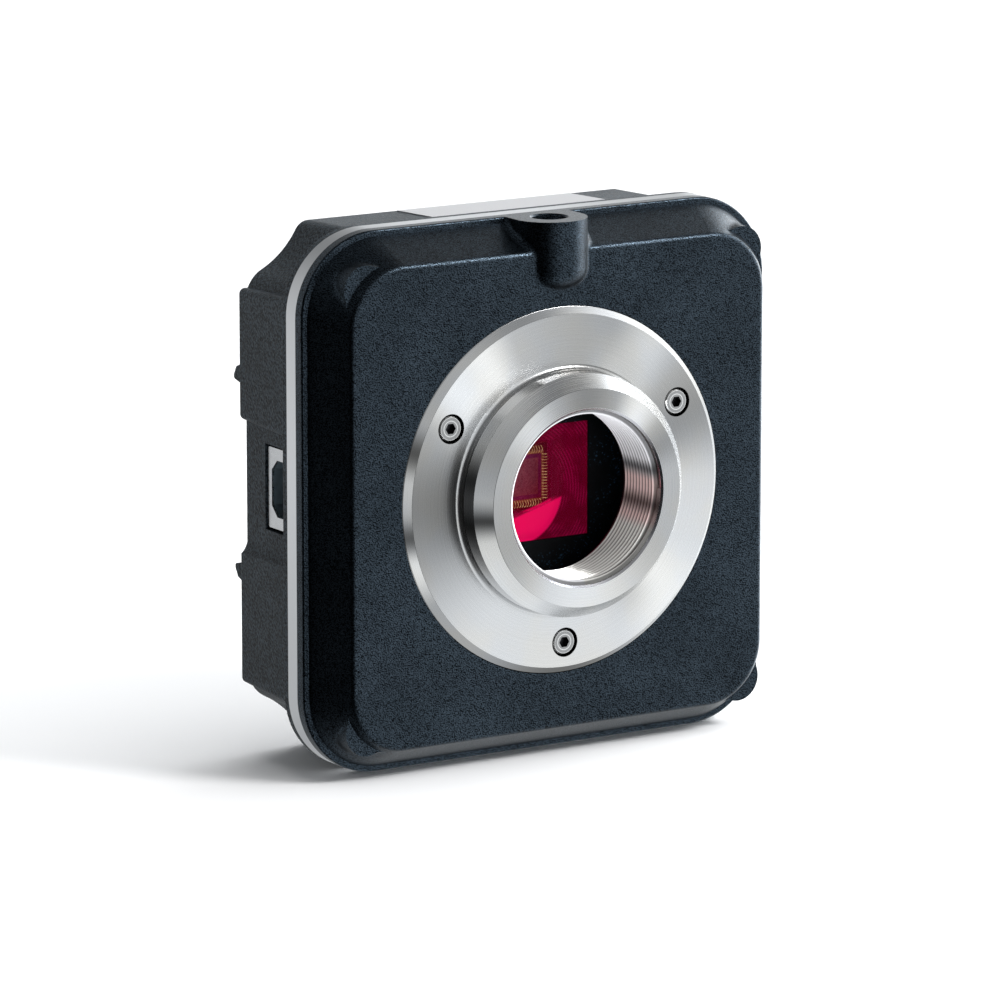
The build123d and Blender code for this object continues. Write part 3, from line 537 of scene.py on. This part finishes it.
die = Paint("silicon", (0.2, 0.08, 0.12), 0.0, 0.3, Specular_IOR_Level=0.2)
from_middle = abs(die.x).top(abs(die.z) + 0.15)
border = from_middle.fade(ACTIVE_EDGE - 0.05, ACTIVE_EDGE + 0.05)
pads = from_middle.fade(BORDER_EDGE - 0.03, BORDER_EDGE + 0.02)
weave = die.noise(3.0, 2.0).fade(0.3, 0.7)
face_tone = die.blend(weave, (0.42, 0.14, 0.2), (0.58, 0.24, 0.3))
edge_tone = die.blend(weave, (0.26, 0.05, 0.22), (0.42, 0.09, 0.34))
die.set("Base Color", die.blend(pads, die.blend(border, face_tone, edge_tone), (0.5, 0.22, 0.12)))
dress("sensor_die", die.mat)

board = Paint("board_green", (0.012, 0.06, 0.035), 0.0, 0.35)
track = board.node("ShaderNodeTexBrick", "Color", {"offset": 0.5}, Vector=board.join(board.x, board.z, 0.0),
                   Scale=0.45, Mortar_Size=0.06)
board.set("Base Color", board.blend(track, (0.02, 0.10, 0.055), (0.010, 0.05, 0.03)))
board.bump(track, 0.3, 0.03)
dress("circuit_board", board.mat)

chip = moulded("chip_black", (0.018, 0.018, 0.02), 0.45)
for name in ("processor", "memory_chips", "link_chip", "boot_flash", "voltage_regulators"):
    dress(name, chip)
coil = moulded("coil_grey", (0.10, 0.10, 0.11), 0.55)
dress("power_coils", coil)
tan = moulded("part_tan", (0.45, 0.32, 0.19), 0.4)
dress("rear_capacitors", tan)
dress("front_capacitors", tan)
can = metal("crystal_can", (0.75, 0.75, 0.77), 0.25, 0.05, 0.4)
dress("clock_crystal", can.mat)
foam = moulded("foam_black", (0.012, 0.012, 0.012), 0.9, 0.15, 0.08)
dress("dust_ring", foam)
dress("sensor_seal", foam)
filler = moulded("pad_grey", (0.35, 0.42, 0.5), 0.8)
dress("thermal_pad", filler)

tin = Paint("socket_tin", (0.80, 0.80, 0.81), 1.0, 0.3)
tin_noise = tin.noise(1.4, 3.0)
tin.set("Roughness", tin_noise.fade(0.3, 0.7, 0.24, 0.4))
tin.set("Base Color", tin.blend(tin_noise, (0.72, 0.72, 0.73), (0.84, 0.84, 0.85)))
tin.bump(tin.noise(0.4, 2.0), 0.3, 0.05)
dress("socket_shell", tin.mat)
dress("socket_insert", moulded("socket_moulding", (0.09, 0.12, 0.14), 0.5))
gold = Paint("contact_gold", (0.86, 0.60, 0.22), 1.0, 0.25)
gold.set("Roughness", gold.noise(2.0, 2.0).fade(0.3, 0.7, 0.2, 0.32))
dress("socket_contacts", gold.mat)

label = Paint("label_white", (0.36, 0.36, 0.37), 0.0, 0.5, Specular_IOR_Level=0.2)
label_noise = label.noise(3.0, 3.0)
label.bump(label_noise, 0.3, 0.02)
label.set("Base Color", label.blend(label_noise, (0.39, 0.39, 0.4), (0.43, 0.43, 0.44)))
dress("top_label", label.mat)


def thread(name, mat, slot, axis, at, outer, depth, pitch, start, end, steps, wide_to=0.0, wide_by=0.0):
    """The ridges of an inner thread: a sharp helical rib on a bore that is wider up to wide_to."""
    turns = (end - start) / pitch
    count = int(turns * steps)
    lead = Vector(axis)
    side = Vector((1, 0, 0)) if abs(lead.x) < 0.5 else Vector((0, 1, 0))
    other = lead.cross(side)
    verts = []
    for index in range(count + 1):
        angle = 2 * math.pi * index / steps
        spoke = side * math.cos(angle) + other * math.sin(angle)
        along = start + pitch * index / steps
        ends = min(index, count - index) / (0.25 * steps)
        height = depth * min(1.0, ends)
        root = (outer if along > wide_to else outer + wide_by) + 0.02
        for shift, radius in ((-0.44, root), (-0.06, outer - height), (0.06, outer - height), (0.44, root)):
            verts.append(Vector(at) + lead * (along + shift * pitch) + spoke * radius)
    faces = []
    for index in range(count):
        low = 4 * index
        for row in range(3):
            faces.append((low + row, low + row + 1, low + row + 5, low + row + 4))
        faces.append((low + 3, low, low + 4, low + 7))
    faces.append((0, 1, 2, 3))
    faces.append((4 * count + 3, 4 * count + 2, 4 * count + 1, 4 * count))
    obj = piece(name, verts, faces, mat, slot)
    fix_normals(obj.data)
    return obj


def fix_normals(mesh):
    work = bmesh.new()
    work.from_mesh(mesh)
    bmesh.ops.recalc_face_normals(work, faces=work.faces)
    work.to_mesh(mesh)
    work.free()


# Thread in the bore: painted reflections in light and dark sectors, a painted pink reflection on one side,
# painted shade towards the thread roots, and a faint painted glow
bore_steel = Paint("bore_steel", (0.8, 0.78, 0.77), 0.3, 0.24, Emission_Strength=0.17)
bore_painted_light = bore_steel.sectors(0.92, (2.6, 0.3, 0.2), (3.4, 0.35, 0.22), (5.5, 2.0, 0.45))
pink_reflection = abs(bore_steel.clock - 0.775).fade(0.035, 0.06, 1.0, 0.0)
reflection_tint = bore_steel.blend(bore_steel.clock > 0.775, (0.97, 0.965, 1.0), (1.0, 0.985, 0.94))
bore_tint = bore_steel.blend(pink_reflection, reflection_tint, (1.0, 0.74, 0.71))
bore_painted_light = bore_steel.vector("SCALE", bore_painted_light, scale=bore_steel.r.fade(12.32, 12.6, 1.0, 0.22))
bore_tone = bore_steel.vector("MULTIPLY", bore_painted_light, bore_tint)
bore_steel.set("Base Color", bore_tone)
bore_steel.set("Emission Color", bore_tone)
bore_steel.set("Roughness", bore_steel.noise(0.8, 2.0).fade(0.3, 0.7, 0.16, 0.26))
thread("lens_thread", bore_steel.mat, "mount_steel", axis=(0, 1, 0), at=(0, 0, 0), outer=12.7, depth=0.42,
       pitch=25.4 / 32, start=0.7, end=9.3, steps=120, wide_to=1.9, wide_by=0.3)
tripod_steel = metal("tripod_steel", (0.45, 0.45, 0.46), 0.35, 0.05, 0.3)
thread("tripod_thread", tripod_steel.mat, "front_coat", axis=(0, 0, -1), at=(0, 10.4, 40.05), outer=2.6,
       depth=0.25, pitch=1.27, start=1.1, end=7.4, steps=64)

# Bond wire gold glows with painted light and painted glints
bond = Paint("bond_gold", (0.9, 0.66, 0.3), 0.4, 0.3, Emission_Strength=1.0)
glint = bond.noise(3.0, 1.0).fade(0.35, 0.65)
bond.set("Emission Color", bond.blend(glint, (0.12, 0.07, 0.02), (0.75, 0.52, 0.24)))


def wire_row(name, count, pitch, span, rise, radius):
    """Geometry Nodes: a row of bond wires, each an arch of round wire."""
    tree = bpy.data.node_groups.new(name, "GeometryNodeTree")
    face = tree.interface
    face.new_socket("Count", in_out="INPUT", socket_type="NodeSocketInt")
    for label_name in ("Pitch", "Span", "Rise", "Radius"):
        face.new_socket(label_name, in_out="INPUT", socket_type="NodeSocketFloat")
    face.new_socket("Material", in_out="INPUT", socket_type="NodeSocketMaterial")
    face.new_socket("Geometry", in_out="OUTPUT", socket_type="NodeSocketGeometry")

    def add(kind, **links):
        node = tree.nodes.new(kind)
        for key, value in links.items():
            slot = node.inputs[key.replace("_", " ")]
            if isinstance(value, bpy.types.NodeSocket):
                tree.links.new(value, slot)
            else:
                slot.default_value = value
        return node

    given = tree.nodes.new("NodeGroupInput").outputs
    half = add("ShaderNodeMath", Value=given["Span"])
    half.operation = "MULTIPLY"
    half.inputs[1].default_value = 0.5
    end = add("ShaderNodeCombineXYZ", X=given["Span"])
    peak = add("ShaderNodeCombineXYZ", X=half.outputs[0], Z=given["Rise"])
    arch = add("GeometryNodeCurveQuadraticBezier", Resolution=8, Start=(0.0, 0.0, 0.0),
               Middle=peak.outputs[0], End=end.outputs[0])
    ring = add("GeometryNodeCurvePrimitiveCircle", Resolution=6, Radius=given["Radius"])
    wire = add("GeometryNodeCurveToMesh", Curve=arch.outputs[0], Profile_Curve=ring.outputs[0],
               Fill_Caps=True)
    step = add("ShaderNodeCombineXYZ", Y=given["Pitch"])
    line = add("GeometryNodeMeshLine", Count=given["Count"], Offset=step.outputs[0])
    jitter = add("FunctionNodeRandomValue", Seed=7)
    jitter.data_type = "FLOAT"
    jitter.inputs[2].default_value = 0.85
    jitter.inputs[3].default_value = 1.15
    size = add("ShaderNodeCombineXYZ", X=1.0, Y=1.0, Z=jitter.outputs[1])
    rowed = add("GeometryNodeInstanceOnPoints", Points=line.outputs[0], Instance=wire.outputs[0],
                Scale=size.outputs[0])
    real = add("GeometryNodeRealizeInstances", Geometry=rowed.outputs[0])
    coated = add("GeometryNodeSetMaterial", Geometry=real.outputs[0], Material=given["Material"])
    out = tree.nodes.new("NodeGroupOutput")
    tree.links.new(coated.outputs[0], out.inputs[0])

    holder_mesh = bpy.data.meshes.new(name)
    host = bpy.data.objects.new(name, holder_mesh)
    bpy.context.scene.collection.objects.link(host)
    modifier = host.modifiers.new("row", "NODES")
    modifier.node_group = tree
    values = {"Count": count, "Pitch": pitch * MM, "Span": span * MM, "Rise": rise * MM,
              "Radius": radius * MM, "Material": bond.mat}
    for item in face.items_tree:
        if item.in_out == "INPUT":
            modifier[item.identifier] = values[item.name]
    bpy.context.view_layer.update()
    made = bpy.data.meshes.new_from_object(host.evaluated_get(bpy.context.evaluated_depsgraph_get()))
    bpy.data.objects.remove(host)
    return made


# Bond wires round the die, from its pads to the package
WIRE_PITCH = 0.44
WIRE_SPAN = 1.05
WIRE_RISE = 0.8
WIRE_R = 0.05
HALF_ROW = 3.4
PAD_INSET = 0.3
die_low, die_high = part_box("sensor_die")
die_half = (die_high[0] - die_low[0]) / 2 / MM
die_rise = (die_high[2] - die_low[2]) / 2 / MM
die_face = die_low[1] / MM
stand = Matrix(((1, 0, 0, 0), (0, 0, -1, die_face * MM), (0, 1, 0, 0), (0, 0, 0, 1)))
wire_count = int(2 * HALF_ROW / WIRE_PITCH) + 1
for index, reach in enumerate((die_half, die_rise, die_half, die_rise)):
    row = wire_row(f"bond_wires_{index}", wire_count, WIRE_PITCH, WIRE_SPAN, WIRE_RISE, WIRE_R)
    shift = Matrix.Translation(Vector((reach - PAD_INSET, -HALF_ROW, 0)) * MM)
    spin = Matrix.Rotation(math.radians(90 * index), 4, "Z")
    row.transform(stand @ spin @ shift)
    place(f"bond_wires_{index}", row, bond.mat, "contact_gold")
